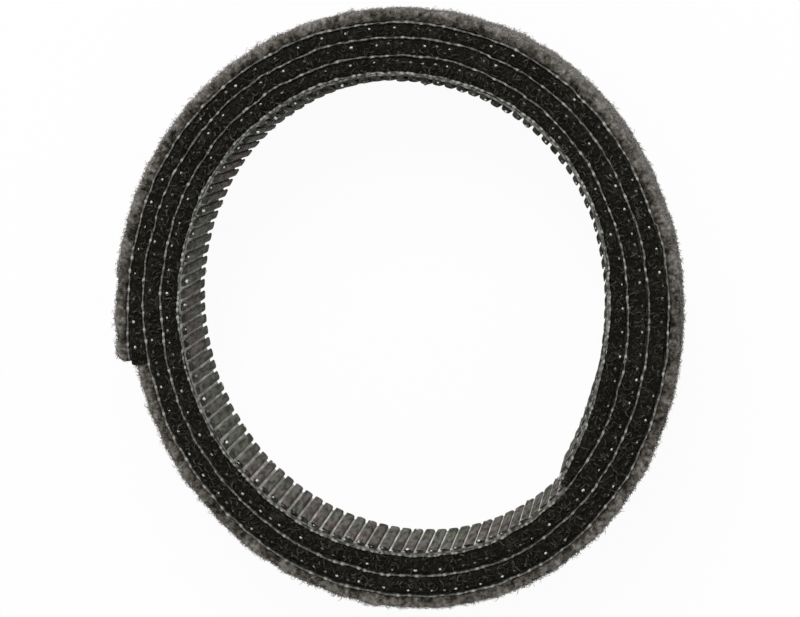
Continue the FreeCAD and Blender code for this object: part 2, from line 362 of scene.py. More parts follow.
def node(tree, kind, inputs=None, **settings):
    """A new node's outputs, with its settings made and its inputs linked or filled."""
    made = tree.nodes.new(kind)
    for name, value in settings.items():
        setattr(made, name, value)
    for name, value in (inputs or {}).items():
        if isinstance(value, bpy.types.NodeSocket):
            tree.links.new(value, made.inputs[name])
        else:
            made.inputs[name].default_value = value
    return made.outputs


def maths(tree, operation, a, b):
    return node(tree, "ShaderNodeMath", {0: a, 1: b}, operation=operation)[0]


def added(tree, amount, factor, base):
    """One value times a factor, on top of another."""
    return node(tree, "ShaderNodeMath", {0: amount, 1: factor, 2: base}, operation="MULTIPLY_ADD")[0]


def vector(tree, x, y, z):
    return node(tree, "ShaderNodeCombineXYZ", {"X": x, "Y": y, "Z": z})[0]


# ---- materials


# The widest range of a pile's tone, with its texture added; and low specular levels.
TONE_RANGE = 1.5
DULL, FAINT = 0.1, 0.2


def new_material(name, colour, roughness, specular=0.5):
    material = bpy.data.materials.new(name)
    material.use_nodes = True
    shader = material.node_tree.nodes["Principled BSDF"]
    shader.inputs["Base Color"].default_value = (*colour, 1)
    shader.inputs["Roughness"].default_value = roughness
    shader.inputs["Specular IOR Level"].default_value = specular
    return material, material.node_tree, shader


def paint(tree, shader, colour):
    tree.links.new(colour, shader.inputs["Base Color"])


def scaled(colour, factor):
    return tuple(min(1.0, c * factor) for c in colour)


def add_attribute(tree, name):
    return node(tree, "ShaderNodeAttribute", attribute_name=name)["Fac"]


def add_noise(tree, scale, detail=2.0, drawn_out=1.0):
    """Noise over the object's own coordinates, in metres, drawn out along the strap's width."""
    place = node(tree, "ShaderNodeTexCoord")["Object"]
    stretch = node(tree, "ShaderNodeMapping", {"Vector": place, "Scale": (1, 1, 1 / drawn_out)})
    inputs = {"Vector": stretch["Vector"], "Scale": scale, "Detail": detail}
    return node(tree, "ShaderNodeTexNoise", inputs)["Fac"]


def add_ramp(tree, value, stops):
    """A colour ramp over a value; each stop is (position, colour)."""
    ramp = tree.nodes.new("ShaderNodeValToRGB")
    elements = ramp.color_ramp.elements
    while len(elements) < len(stops):
        elements.new(0.5)
    for element, (position, colour) in zip(elements, stops):
        element.position = position
        element.color = (*colour, 1)
    tree.links.new(value, ramp.inputs["Fac"])
    return ramp.outputs["Color"]


def add_bump(tree, shader, height, distance, strength=0.5):
    bump = node(tree, "ShaderNodeBump", {"Height": height, "Distance": distance, "Strength": strength})
    tree.links.new(bump["Normal"], shader.inputs["Normal"])


def mixed(tree, factor, a, b, blend_type="MIX"):
    """Two colours mixed by a factor."""
    inputs = {"Factor": factor, "A": a, "B": b}
    return node(tree, "ShaderNodeMix", inputs, data_type="RGBA", blend_type=blend_type)["Result"]


def tone_ramp(tree, colours, texture, spread):
    """The pile's tone with painted light and shade: from the pressed edges' painted shade at 0 to the
    rim's painted light, varied by a texture.
    """
    tone = added(tree, texture, spread, add_attribute(tree, "tone"))
    # Stops: the pressed edges' painted shade, the ground's painted shade, the fibres' own colour and the
    # rim's painted light.
    tones = [
        (0.0, scaled(colours.pressed, 0.6)), (0.16, scaled(colours.pressed, 1.4)),
        (0.3, colours.ground_shade), (0.5, colours.fibre), (0.8, colours.lit_rim),
    ]
    stops = [((at + spread / 2) / TONE_RANGE, colour) for at, colour in tones]
    return add_ramp(tree, maths(tree, "DIVIDE", tone, TONE_RANGE), stops)


def pile_material(colours):
    material, tree, shader = new_material("pile_body", colours.ground_shade, 1.0, DULL)
    paint(tree, shader, tone_ramp(tree, colours, add_noise(tree, 2300, 4), 0.9))
    add_bump(tree, shader, add_noise(tree, 3000, 3), 0.15 * MM, 0.9)
    return material


def fibre_material(colours):
    material, tree, shader = new_material("pile_fibre", colours.fibre, 0.9, 0.15)
    paint(tree, shader, tone_ramp(tree, colours, add_attribute(tree, "shade"), 0.6))
    shader.inputs["Sheen Weight"].default_value = 0.15
    shader.inputs["Sheen Roughness"].default_value = 0.5
    return material


def strand_material(colours):
    """Like the pressed pile's painted shade where the tone is low, and like any fibre where it is high.
    """
    material, tree, shader = new_material("edge_strand", colours.strand, 0.7, FAINT)
    shade = add_attribute(tree, "shade")
    # Random strand shades; the darkest is the pressed pile's painted shade.
    covered = add_ramp(tree, shade, [
        (0.25, colours.pressed), (0.5, scaled(colours.strand, 0.25)),
        (0.8, scaled(colours.strand, 0.55)), (1.0, colours.strand),
    ])
    bare = add_ramp(tree, add_attribute(tree, "tone"), [(0.3, (0, 0, 0)), (0.4, (1, 1, 1))])
    paint(tree, shader, mixed(tree, bare, covered, tone_ramp(tree, colours, shade, 0.6)))
    return material


def film_material(colours):
    material, tree, shader = new_material("bond_film", colours.film, 0.5)
    mottle = added(tree, add_noise(tree, 1900, 2), 0.8, add_attribute(tree, "pale"))
    paint(tree, shader, add_ramp(tree, mottle, [
        (0.3, scaled(colours.film, 0.2)), (0.55, scaled(colours.film, 0.8)),
        (1.05, scaled(colours.film, 3.0)),
    ]))
    add_bump(tree, shader, add_noise(tree, 2500, 2), 0.05 * MM)
    return material


def hook_material(colours):
    """Hook rows in slightly different tints, mottled along each row."""
    material, tree, shader = new_material("hook_rows", colours.hook, 0.75, DULL)
    green, plain, plum = (0.92, 1.06, 0.9), (1, 1, 1), (1.08, 0.95, 1.02)
    tints = [tuple(a * b for a, b in zip(colours.hook, tint)) for tint in (green, plain, plum)]
    tint = add_ramp(tree, add_noise(tree, 220, 1, 4), list(zip((0.38, 0.5, 0.62), tints)))
    mottle = add_ramp(tree, add_noise(tree, 1900, 2, 6), [(0.36, (0.35,) * 3), (0.64, (1.8,) * 3)])
    paint(tree, shader, mixed(tree, 1, tint, mottle, "MULTIPLY"))
    add_bump(tree, shader, add_noise(tree, 2600, 2), 0.05 * MM)
    return material


def hook_end_shade_material(colours):
    # Painted shade: the hooks' cut ends are darker than the hook rows, as if in shade, and mottled.
    material, tree, shader = new_material("hook_ends", colours.hook_end_shade, 0.9, DULL)
    shades = [(0.35, scaled(colours.hook_end_shade, 0.25)), (0.7, scaled(colours.hook_end_shade, 2.2))]
    paint(tree, shader, add_ramp(tree, add_noise(tree, 2400, 3), shades))
    return material


def base_material(name, colour, fineness, drawn_out, dark):
    """A mottled colour; the mottle's darkest shade and how far it is drawn out are given."""
    material, tree, shader = new_material(name, colour, 0.5)
    shades = [(at, scaled(colour, by)) for at, by in ((0.36, dark), (0.5, 0.9), (0.66, 1.7))]
    paint(tree, shader, add_ramp(tree, add_noise(tree, fineness, 2, drawn_out), shades))
    return material


def glint_material(colours):
    # Painted glints: each tip's brightness follows its row's glint level.
    material, tree, shader = new_material("hook_tip", colours.glint, 0.25)
    paint(tree, shader, add_ramp(tree, add_attribute(tree, "tipped"), [
        (0.2, scaled(colours.glint, 0.1)), (0.5, scaled(colours.glint, 0.35)), (0.85, colours.glint),
    ]))
    shader.inputs["Coat Weight"].default_value = 0.4
    return material


# ---- node trees


def new_tree(name, sockets):
    """A geometry node tree with a geometry input and output and the named inputs given."""
    tree = bpy.data.node_groups.new(name, "GeometryNodeTree")
    tree.interface.new_socket("Geometry", in_out="INPUT", socket_type="NodeSocketGeometry")
    for socket, kind in sockets.items():
        tree.interface.new_socket(socket, in_out="INPUT", socket_type=f"NodeSocket{kind}")
    tree.interface.new_socket("Geometry", in_out="OUTPUT", socket_type="NodeSocketGeometry")
    return tree, tree.nodes.new("NodeGroupInput").outputs, tree.nodes.new("NodeGroupOutput").inputs


def named(tree, name):
    """The value of a named attribute."""
    return node(tree, "GeometryNodeInputNamedAttribute", {"Name": name}, data_type="FLOAT")["Attribute"]


def random_value(tree, low, high, seed):
    return node(tree, "FunctionNodeRandomValue", {2: low, 3: high, "Seed": seed}, data_type="FLOAT")[1]


def random_vector(tree, reach, top, seed):
    """A random vector, within a reach either way along X and Y and up to a top along Z."""
    back = maths(tree, "MULTIPLY", reach, -1.0)
    return node(tree, "FunctionNodeRandomValue", {
        "Min": vector(tree, back, back, 0.0), "Max": vector(tree, reach, reach, top), "Seed": seed,
    }, data_type="FLOAT_VECTOR")["Value"]


def shape_of(tree, source):
    return node(tree, "GeometryNodeObjectInfo", {"Object": source})["Geometry"]


def joined(tree, parts):
    """Geometries put together, in the order given."""
    joint = node(tree, "GeometryNodeJoinGeometry")
    join = tree.nodes[-1]
    for part in parts:
        tree.links.new(part, join.inputs[0])
    return joint[0]


def realized(tree, placement):
    """Instances on points, made into plain geometry."""
    placed = node(tree, "GeometryNodeInstanceOnPoints", placement)
    return node(tree, "GeometryNodeRealizeInstances", {"Geometry": placed[0]})[0]


def dressed(tree, geometry, material, chosen=True):
    """Geometry with a material on all of its faces, or on those chosen."""
    inputs = {"Geometry": geometry, "Selection": chosen, "Material": material}
    return node(tree, "GeometryNodeSetMaterial", inputs)[0]


def run_tree(piece, tree, values):
    """Run a tree on a piece with the inputs given, and keep the result as its plain mesh."""
    modifier = piece.modifiers.new(tree.name, "NODES")
    modifier.node_group = tree
    for item in tree.interface.items_tree:
        if item.item_type == "SOCKET" and item.name in values:
            modifier[item.identifier] = values[item.name]
    graph = bpy.context.evaluated_depsgraph_get()
    mesh = bpy.data.meshes.new_from_object(piece.evaluated_get(graph))
    piece.modifiers.remove(modifier)
    old = piece.data
    piece.data = mesh
    mesh.name = piece.name
    bpy.data.meshes.remove(old)


def pile_tree():
    """Fibres scattered over a surface, as many and as long as its attributes say."""
    tree, given, result = new_tree("Pile fibres", {
        "Density": "Float", "Length": "Float", "Lean": "Float", "Seed": "Int", "Hair": "Object",
        "Arch": "Object", "Loop": "Object", "Ground material": "Material", "Fibre material": "Material",
    })
    seed = given["Seed"]
    density = maths(tree, "MULTIPLY", given["Density"], named(tree, "cover"))
    points = node(tree, "GeometryNodeDistributePointsOnFaces", {
        "Mesh": given["Geometry"], "Density": density, "Seed": seed,
    })
    tilt = random_vector(tree, given["Lean"], 2 * math.pi, seed)
    turned = node(tree, "FunctionNodeRotateRotation", {
        "Rotation": points["Rotation"],
        "Rotate By": node(tree, "FunctionNodeEulerToRotation", {"Euler": tilt})[0],
    }, rotation_space="LOCAL")
    reach = maths(tree, "MULTIPLY", named(tree, "reach"), random_value(tree, 0.55, 1.25, seed))
    shapes = [
        node(tree, "GeometryNodeGeometryToInstance", {"Geometry": shape_of(tree, given[source])})[0]
        for source in ("Hair", "Arch", "Loop")
    ]
    shaded = node(tree, "GeometryNodeStoreNamedAttribute", {
        "Geometry": points["Points"], "Name": "shade", "Value": random_value(tree, 0.0, 1.0, seed),
    }, data_type="FLOAT", domain="POINT")
    fibres = realized(tree, {
        "Points": shaded[0], "Instance": joined(tree, shapes), "Pick Instance": True,
        "Rotation": turned[0], "Scale": maths(tree, "MULTIPLY", given["Length"], reach),
    })
    tree.links.new(joined(tree, [
        dressed(tree, fibres, given["Fibre material"]),
        dressed(tree, given["Geometry"], given["Ground material"]),
    ]), result[0])
    return tree


def hook_tree():
    """A row of hooks at every point, turned to its "facing", with a tip at each edge that carries a
    painted glint where the row has one.
    """
    tree, given, result = new_tree("Hook rows", {
        "Hooks in a row": "Int", "Hook pitch": "Float", "First hook": "Float", "Tip scatter": "Float",
        "Seed": "Int", "Hook": "Object", "Tip": "Object", "Base": "Object",
        "Hook material": "Material", "Hook end material": "Material", "Tip material": "Material",
        "Base material": "Material", "Base edge material": "Material",
    })
    normal = node(tree, "ShaderNodeSeparateXYZ", {"Vector": node(tree, "GeometryNodeInputNormal")[0]})
    is_end = maths(tree, "GREATER_THAN", maths(tree, "ABSOLUTE", normal["Z"], 0.0), 0.9)
    turn = vector(tree, 0.0, 0.0, named(tree, "facing"))
    rotation = node(tree, "FunctionNodeEulerToRotation", {"Euler": turn})[0]
    stand = named(tree, "stand")

    line = node(tree, "GeometryNodeMeshLine", {
        "Count": given["Hooks in a row"], "Start Location": vector(tree, 0.0, 0.0, given["First hook"]),
        "Offset": vector(tree, 0.0, 0.0, given["Hook pitch"]),
    }, mode="OFFSET")
    row = node(tree, "GeometryNodeInstanceOnPoints", {
        "Points": line[0], "Instance": shape_of(tree, given["Hook"]),
    })
    rows = realized(tree, {
        "Points": given["Geometry"], "Instance": row[0], "Rotation": rotation,
        "Scale": vector(tree, 1.0, stand, 1.0),
    })
    hooks = dressed(tree, rows, given["Hook material"])

    girth = random_value(tree, 0.75, 1.2, given["Seed"])
    offset = random_vector(tree, given["Tip scatter"], 0.0, given["Seed"])
    scattered = node(tree, "GeometryNodeSetPosition", {"Geometry": given["Geometry"], "Offset": offset})
    # Tips, which carry painted glints, stand where a row's glint level is above 0.1.
    tips = realized(tree, {
        "Points": scattered[0], "Selection": maths(tree, "GREATER_THAN", named(tree, "tipped"), 0.1),
        "Instance": shape_of(tree, given["Tip"]), "Rotation": rotation,
        "Scale": vector(tree, girth, maths(tree, "MULTIPLY", girth, stand), 1.0),
    })

    base = dressed(tree, shape_of(tree, given["Base"]), given["Base material"])
    # Faces along the strap's width are cut ends: the hooks' take the hook ends' painted shade, the
    # base's take its edge material.
    tree.links.new(joined(tree, [
        dressed(tree, hooks, given["Hook end material"], is_end),
        dressed(tree, tips, given["Tip material"]),
        dressed(tree, base, given["Base edge material"], is_end),
    ]), result[0])
    return tree


# ---- loop tape


# Where the free pile starts, and where the strap starts to be covered on its inside; and
# where the pile starts that the outer flaps lay bare when they peel.
FREE_FROM = PATH.beside(-1)
COVERED_FROM = PATH.beside(0)
BARED_FROM = FREE_FROM - (PATH.length - SPANS[1].start)

# The pile's rounded edge: its share of the pile's height, and how far it stands back in mm.
EDGE = ((0.0, 0.2), (0.2, 0.08), (0.45, 0.02), (0.7, 0.04), (0.88, 0.12), (1.0, 0.35))

# Steps along the pile where it can be seen and where it can't, and columns across its face.
SEEN_STEP, HIDDEN_STEP = 0.22 * MM, 0.35 * MM
FREE_COLUMNS, COVERED_COLUMNS = 44, 16

# The free pile rises over this length, and has a paler rim of this width.
FREE_FADE, PALE_RIM = 0.3 * MM, 1.6 * MM
THINNEST_PILE = 0.12 * MM
FINE_TUFT = 0.4 * MM
TUFT_SEED, LUMP_SEED, FINE_SEED = 3.0, 5.0, 8.0
FIBRE_LEAN = 0.8

# How far in mm the cut ends stand back: the inner one, the outer one at the film, and what
# the tapes add to that. The outer one's slant fades out over a length.
INNER_CUT, FILM_CUT, TAPE_CUT, CUT_REACH = 0.1, 0.45, 0.6, 2.5 * MM


def slanted(along, share):
    """Places along the strap, with the cut end of each layer slanting back from the film."""
    start = np.clip(1 - along / MM, 0, 1)
    stop = np.clip(1 - (PATH.length - along) / CUT_REACH, 0, 1)
    return along + (INNER_CUT * start - (FILM_CUT + TAPE_CUT * share ** 2) * stop) * MM


def pile_section(across):
    """A section's height as a share, its place up the strap's width, and the way around it."""
    backs = np.array([back * MM for _, back in EDGE])
    face = np.linspace(backs[-1], WIDTH - backs[-1], across + 2)[1:-1]
    up = np.concatenate([backs, face, WIDTH - backs[::-1]])
    share = np.array([u for u, _ in EDGE] + [1.0] * across + [u for u, _ in EDGE[::-1]])
    around = np.concatenate([[0], np.cumsum(np.hypot(np.diff(up), np.diff(share) * MM))])
    return share, up, around


def pile_rise(along, up, free, sizes):
    """The pile's height: its own where it is free, and what the next wrap leaves it elsewhere."""
    crown = np.sin(math.pi * up / WIDTH) ** 0.7
    gap = sizes.edge_gap + (sizes.hook_gap - sizes.edge_gap) * crown
    pressed = np.maximum(PATH.room(along[:, 0], 1)[:, None] - gap, THINNEST_PILE)
    return pressed + (sizes.pile_rise - pressed) * free


def pile_looks(along, up, share, free, tufts, lumps):
    """The pile's tone with painted light and shade ("tone"), and how thickly ("cover") and how long
    ("reach") its fibres grow.
    """
    from_edge = np.minimum(up, WIDTH - up)
    # seen is 1 on the free pile and falls to 0 towards a covered wrap's edges, where the tone goes dark:
    # painted shade of the next wrap.
    seen = free + (1 - free) * np.clip((from_edge / MM - 0.7) / 0.8, 0, 1)
    # The lit tone: random tone from the tufts and lumps, with painted light on the outer face and tuft
    # tops and painted shade near the film and in the hollows.
    bright = 0.3 + 0.28 * share + 0.45 * tufts + 0.25 * lumps
    # The dark tone of covered edges, painted shade, varied a little by the tufts and lumps.
    dark = 0.07 + 0.18 * tufts + 0.12 * lumps
    peels = (along > BARED_FROM) | (along < SPANS[0].start)
    on_edge = (share > 0.15) * (0.35 + 0.35 * (up > WIDTH / 2) + 0.5 * free)
    on_face = free * (0.75 + 0.75 * (from_edge < PALE_RIM)) + 0.4 * (1 - free) * peels
    return {
        "tone": seen * bright + (1 - seen) * dark,
        "cover": np.where(share < 1, on_edge, on_face),
        "reach": np.where(share < 0.85, 0.75 + 0.45 * (1 - free), 0.6 + 0.4 * free),
    }


def pile_rings(span, sizes, step, across):
    """Rings round the loop tape's section, and the values that say how each point looks."""
    share, up, around = pile_section(across)
    along = stations(span, step)[:, None]
    free = np.clip((along - FREE_FROM) / FREE_FADE, 0, 1)
    lumps = ripple(along, around, sizes.lump_size, LUMP_SEED)
    fine = ripple(along, around, FINE_TUFT, FINE_SEED)
    tufts = 0.65 * ripple(along, around, sizes.tuft_size, TUFT_SEED) + 0.45 * fine
    swell = (sizes.tuft_depth * tufts + sizes.lump_depth * lumps * free) * np.minimum(share * 3, 1)
    out = PATH.film / 2 + pile_rise(along, up, free, sizes) * share + swell * share
    side = np.where(share < 1, np.sign(up - WIDTH / 2) * (1 - share), 0)
    places = PATH.place(slanted(np.broadcast_to(along, out.shape), share), out, up + swell * side)
    looks = pile_looks(along, up, share, free, tufts, lumps)
    return places, {name: np.broadcast_to(value, out.shape) for name, value in looks.items()}


def make_pile(name, span, sizes, shapes, materials, tree):
    bared, free = span.stop > BARED_FROM + MM, span.stop > FREE_FROM + MM
    step, across = SEEN_STEP if bared else HIDDEN_STEP, FREE_COLUMNS if free else COVERED_COLUMNS
    rings, values = pile_rings(span, sizes, step, across)
    mesh = ring_mesh(name, rings)
    for label, value in values.items():
        store(mesh, label, value)
    facing_out(mesh)
    piece = new_object(name, mesh)
    run_tree(piece, tree, {
        "Density": sizes.fibre_density, "Length": sizes.fibre_length, "Lean": FIBRE_LEAN,
        "Seed": sizes.seed + len(bpy.data.objects), "Ground material": materials["pile"],
        "Fibre material": materials["fibre" if free else "strand"],
        **shapes["fibre" if free else "strand"],
    })
    return piece


def thread_mesh(name, path, width, sides=3):
    """A tapering thread along a short list of points, in units of its own length."""
    rings = []
    for i, point in enumerate(path):
        ahead = Vector(path[min(i + 1, len(path) - 1)]) - Vector(path[max(i - 1, 0)])
        turn = ahead.to_track_quat("Z", "Y")
        radius = width / 2 * (1 - 0.5 * i / (len(path) - 1))
        corner = [2 * math.pi * k / sides for k in range(sides)]
        ring = [turn @ Vector((math.cos(a) * radius, math.sin(a) * radius, 0)) for a in corner]
        rings.append([(Vector(point) + offset)[:] for offset in ring])
    mesh = ring_mesh(name, np.array(rings))
    facing_out(mesh)
    return mesh


# A standing hair, a lying arch and a loop, each about one unit long.
FIBRE_PATHS = {
    "Hair": [(0, 0, -0.15), (0.1, 0.04, 0.3), (0.35, 0.2, 0.6)],
    "Arch": [(0, 0, -0.1), (0.3, 0.1, 0.28), (0.75, 0.32, 0.3), (1.05, 0.6, 0.05)],
    "Loop": [(-0.25, 0, -0.1), (-0.25, 0.06, 0.32), (0.2, 0.1, 0.4), (0.28, 0, -0.1)],
}


def fibre_shapes(name, sizes, thickness):
    """A small object for each of the fibres' paths."""
    width = thickness / sizes.fibre_length
    return {
        shape: new_object(f"{name}_{shape}", thread_mesh(f"{name}_{shape}", path, width))
        for shape, path in FIBRE_PATHS.items()
    }


def discard(shapes):
    for shape in shapes.values():
        mesh = shape.data
        bpy.data.objects.remove(shape)
        bpy.data.meshes.remove(mesh)


def pile_parts(span):
    """A span's stretches: the roll is in parts that are covered, bared by the flaps, and free."""
    if span.child:
        return [("bend", span)]
    stops = [*np.linspace(span.start, BARED_FROM, 3), *np.linspace(FREE_FROM, span.stop, 4)]
    names = ("covered_a", "covered_b", "bared", "free_a", "free_b", "free_c")
    return [(name, span._replace(start=a, stop=b)) for name, a, b in zip(names, stops, stops[1:])]


class STRAP_OT_loop_tape(bpy.types.Operator):
    """Make the loop tape: its pile body and the fibres on it"""

    bl_idname = "strap.loop_tape"
    bl_label = "Loop tape"

    def execute(self, context):
        sizes, colours = context.scene.strap_sizes, context.scene.strap_colours
        shapes = {
            "fibre": fibre_shapes("fibre", sizes, sizes.fibre_width),
            "strand": fibre_shapes("strand", sizes, sizes.strand_width),
        }
        materials = {
            "pile": pile_material(colours), "fibre": fibre_material(colours),
            "strand": strand_material(colours),
        }
        tree = pile_tree()
        for span in SPANS:
            for part, stretch in pile_parts(span):
                piece = make_pile(f"pile_{span.stem}_{part}", stretch, sizes, shapes, materials, tree)
                attach(piece, stretch, "loop_tape")
        for made in shapes.values():
            discard(made)
        return {"FINISHED"}


# ---- bond film


def jogged(along, pitch, seed):
    """A line of straight runs from -1 to 1, with a corner about every pitch."""
    corners = np.arange(-1, math.ceil(PATH.length / pitch) + 2)
    generator = np.random.default_rng(seed)
    places = (corners + generator.uniform(-0.35, 0.35, len(corners))) * pitch
    return np.interp(along, places, generator.uniform(-1, 1, len(corners)))


KNOT_REACH = 0.34 * MM


def knots(along, pitch, seed):
    """Bumps from 0 to 1, about one to a pitch, some of them faint."""
    generator = np.random.default_rng(seed)
    count = math.ceil(PATH.length / pitch) + 2
    places = (np.arange(count) + generator.uniform(-0.3, 0.3, count)) * pitch
    heights = generator.uniform(0.1, 1, count)
    nearest = np.clip(np.searchsorted(places, along), 1, count - 1)
    nearest = nearest - (along - places[nearest - 1] < places[nearest] - along)
    return heights[nearest] * np.clip(1 - np.abs(along - places[nearest]) / KNOT_REACH, 0, 1)


# The film's edge wanders in runs of three lengths: (pitch, share of the whole).
JOGS = ((2.1 * MM, 0.7), (0.9 * MM, 0.45), (0.4 * MM, 0.2))
FILM_STEP, SPECK_PITCH, SWELL_PITCH = 0.17 * MM, 0.7 * MM, 0.5 * MM
LOWER_SEED, UPPER_SEED = 20, 30


def make_film(name, span, sizes, material):
    along = stations(span, FILM_STEP)
    out, up, pale = [], [], []
    for level, seed in ((0, LOWER_SEED), (WIDTH, UPPER_SEED)):
        runs = [share * jogged(along, pitch, seed + i) for i, (pitch, share) in enumerate(JOGS)]
        jog = sizes.film_jog * sum(runs)
        rows, specks = knots(along, sizes.row_pitch, seed + 4), knots(along, SPECK_PITCH, seed + 5)
        knot = np.where(along > COVERED_FROM, np.maximum(rows, 0.4 * specks), specks)
        swell = 0.85 + 0.8 * knot + 0.35 * jogged(along, SWELL_PITCH, seed + 3)
        half = sizes.film_thickness / 2 * swell
        stand = (0.15 * knot - 0.03) * MM * (1 if level else -1)
        out += [jog - half, jog + half] if level == 0 else [jog + half, jog - half]
        up += [level + stand, level + stand]
        pale += [knot, knot]
    rings = PATH.place(np.broadcast_to(slanted(along, 0), (4, len(along))), np.array(out), np.array(up))
    mesh = ring_mesh(name, rings.transpose(1, 0, 2))
    store(mesh, "pale", np.array(pale).T)
    facing_out(mesh)
    mesh.materials.append(material)
    return new_object(name, mesh)


class STRAP_OT_bond_film(bpy.types.Operator):
    """Make the bond film between the two tapes, with its wandering cut edge"""

    bl_idname = "strap.bond_film"
    bl_label = "Bond film"

    def execute(self, context):
        sizes, colours = context.scene.strap_sizes, context.scene.strap_colours
        material = film_material(colours)
        for span in SPANS:
            piece = make_film(f"film_{span.stem}", span, sizes, material)
            attach(piece, span, "bond_film")
        return {"FINISHED"}


# ---- hook tape


# A hook's leaning profile: (mm along the strap, share of its height).
HOOK_PROFILE = (
    (-0.3, -0.1), (-0.26, 0.3), (-0.36, 0.48), (-0.5, 0.6), (-0.5, 0.82), (-0.36, 0.97),
    (0.1, 1.0), (0.42, 0.93), (0.58, 0.68), (0.66, -0.1),
)

# A tip's half lengths in mm, and its place: mm along the strap, share of the hook's
# height, and how far in from the strap's edge. The tips are beads that carry painted glints.
TIP_SIZE = (0.23, 0.17, 0.45)
TIP_ALONG, TIP_HEIGHT, TIP_INSET = -0.1 * MM, 0.68, 0.26 * MM

# The hooks' base: the step along it, its ragged edge where it shows, and its inset elsewhere.
BASE_STEP, COVERED_INSET = 0.3 * MM, 0.5 * MM
RAGGED_DEPTH, RAGGED_PITCH = 0.12 * MM, 0.6 * MM

# How near a hook row may lie to the strap's ends, and more rows than there can be.
ROW_MARGIN, MOST_ROWS = 0.6 * MM, 2000

# How upright the rows stand, as (mm, share): from the strap's inner end on, and inwards from
# the place beside that end.
WORN = ((14, 0.3), (42, 0.95), (60, 1.25), (80, 1.25), (100, 1.0))
BESIDE = ((-14, 1.0), (-8, 0.3), (0, 0.3), (40, 1.0))


def hook_mesh(sizes):
    """One hook: its profile, drawn out to its width."""
    points = [(x * MM, y * sizes.hook_height) for x, y in HOOK_PROFILE]
    half = sizes.hook_width / 2
    rings = np.array([[(x, y, z) for x, y in points] for z in (-half, half)])
    mesh = ring_mesh("shape_hook", rings)
    facing_out(mesh)
    return mesh


def tip_mesh(sizes):
    """Two beads, one at each edge of the strap, at the height of a hook's bend, to carry painted glints.
    """
    mesh = bpy.data.meshes.new("shape_tip")
    shape = bmesh.new()
    for up in (TIP_INSET, WIDTH - TIP_INSET):
        verts = bmesh.ops.create_icosphere(shape, subdivisions=1, radius=MM)["verts"]
        bmesh.ops.scale(shape, verts=verts, vec=TIP_SIZE)
        place = (TIP_ALONG, sizes.hook_height * TIP_HEIGHT, up)
        bmesh.ops.translate(shape, verts=verts, vec=place)
    shape.to_mesh(mesh)
    shape.free()
    return mesh


def base_mesh(name, span, sizes):
    along = stations(span, BASE_STEP)[:, None]
    near, far = -PATH.film / 2 * 0.8, -PATH.film / 2 - sizes.base_thickness
    ragged = RAGGED_DEPTH * (1 + jogged(along, RAGGED_PITCH, sizes.seed))
    inset = np.where(along > COVERED_FROM, COVERED_INSET, ragged)
    out = np.broadcast_to(np.array([far, near, near, far]), (len(along), 4))
    up = np.concatenate([inset, inset, WIDTH - inset, WIDTH - inset], axis=1)
    places = slanted(np.broadcast_to(along, out.shape), np.array([0.3, 0, 0, 0.3]))
    mesh = ring_mesh(name, PATH.place(places, out, up))
    facing_out(mesh)
    return mesh


def row_glints(numbers, seed):
    """How bright each row's painted glints are: every other row's nearly always, the others' sometimes.
    """
    generator = np.random.default_rng(seed)
    chance, shade = generator.uniform(0, 1, (2, MOST_ROWS))[:, numbers]
    bright = np.where(chance < 0.7, 0.75 + 0.25 * shade, 0.3)
    dim = np.where(chance < 0.4, 0.3 + 0.25 * shade, 0)
    return np.where(numbers % 2, bright, dim)


def row_stand(along, seed):
    """How upright each row stands: low at the strap's inner end and at the wrap beside it."""
    worn = np.interp(along / MM, *zip(*WORN))
    beside = np.interp((COVERED_FROM - along) / MM, *zip(*BESIDE))
    generator = np.random.default_rng(seed)
    return worn * beside * generator.uniform(0.88, 1.1, len(along))


def row_seeds(name, span, sizes):
    """A point for each hook row, with its "facing", how bright its painted glints are and its "stand".
    """
    start, stop = max(span.start, ROW_MARGIN), min(span.stop, PATH.length - ROW_MARGIN)
    numbers = np.arange(math.ceil(start / sizes.row_pitch), math.ceil(stop / sizes.row_pitch))
    along = numbers * sizes.row_pitch
    places = PATH.place(along, np.full(len(along), -PATH.film / 2 - sizes.base_thickness), 0)
    mesh = bpy.data.meshes.new(name)
    mesh.from_pydata(places.tolist(), [], [])
    store(mesh, "facing", np.interp(along, PATH.along, PATH.facing) + math.pi / 2)
    store(mesh, "tipped", row_glints(numbers, sizes.seed))
    store(mesh, "stand", row_stand(along, sizes.seed + len(along)))
    return mesh


def make_hooks(name, span, sizes, shapes, materials, tree):
    is_covered = span.start >= COVERED_FROM
    base = new_object(f"{name}_base", base_mesh(f"{name}_base", span, sizes))
    piece = new_object(name, row_seeds(name, span, sizes))
    count = round(WIDTH / sizes.hook_pitch) - (2 if is_covered else 0)
    margin = (WIDTH - (count - 1) * sizes.hook_pitch) / 2
    run_tree(piece, tree, {
        "Hooks in a row": count, "Hook pitch": sizes.hook_pitch, "First hook": margin,
        "Tip scatter": sizes.tip_scatter, "Seed": sizes.seed + len(bpy.data.objects),
        "Hook": shapes["hook"], "Tip": shapes["tip"],
        "Base": base, "Hook material": materials["hook"], "Hook end material": materials["end"],
        "Tip material": materials["tip"], "Base material": materials["base"],
        # Where a wrap is covered, the base's edge takes the hook ends' painted shade.
        "Base edge material": materials["end" if is_covered else "edge"],
    })
    discard({"base": base})
    return piece


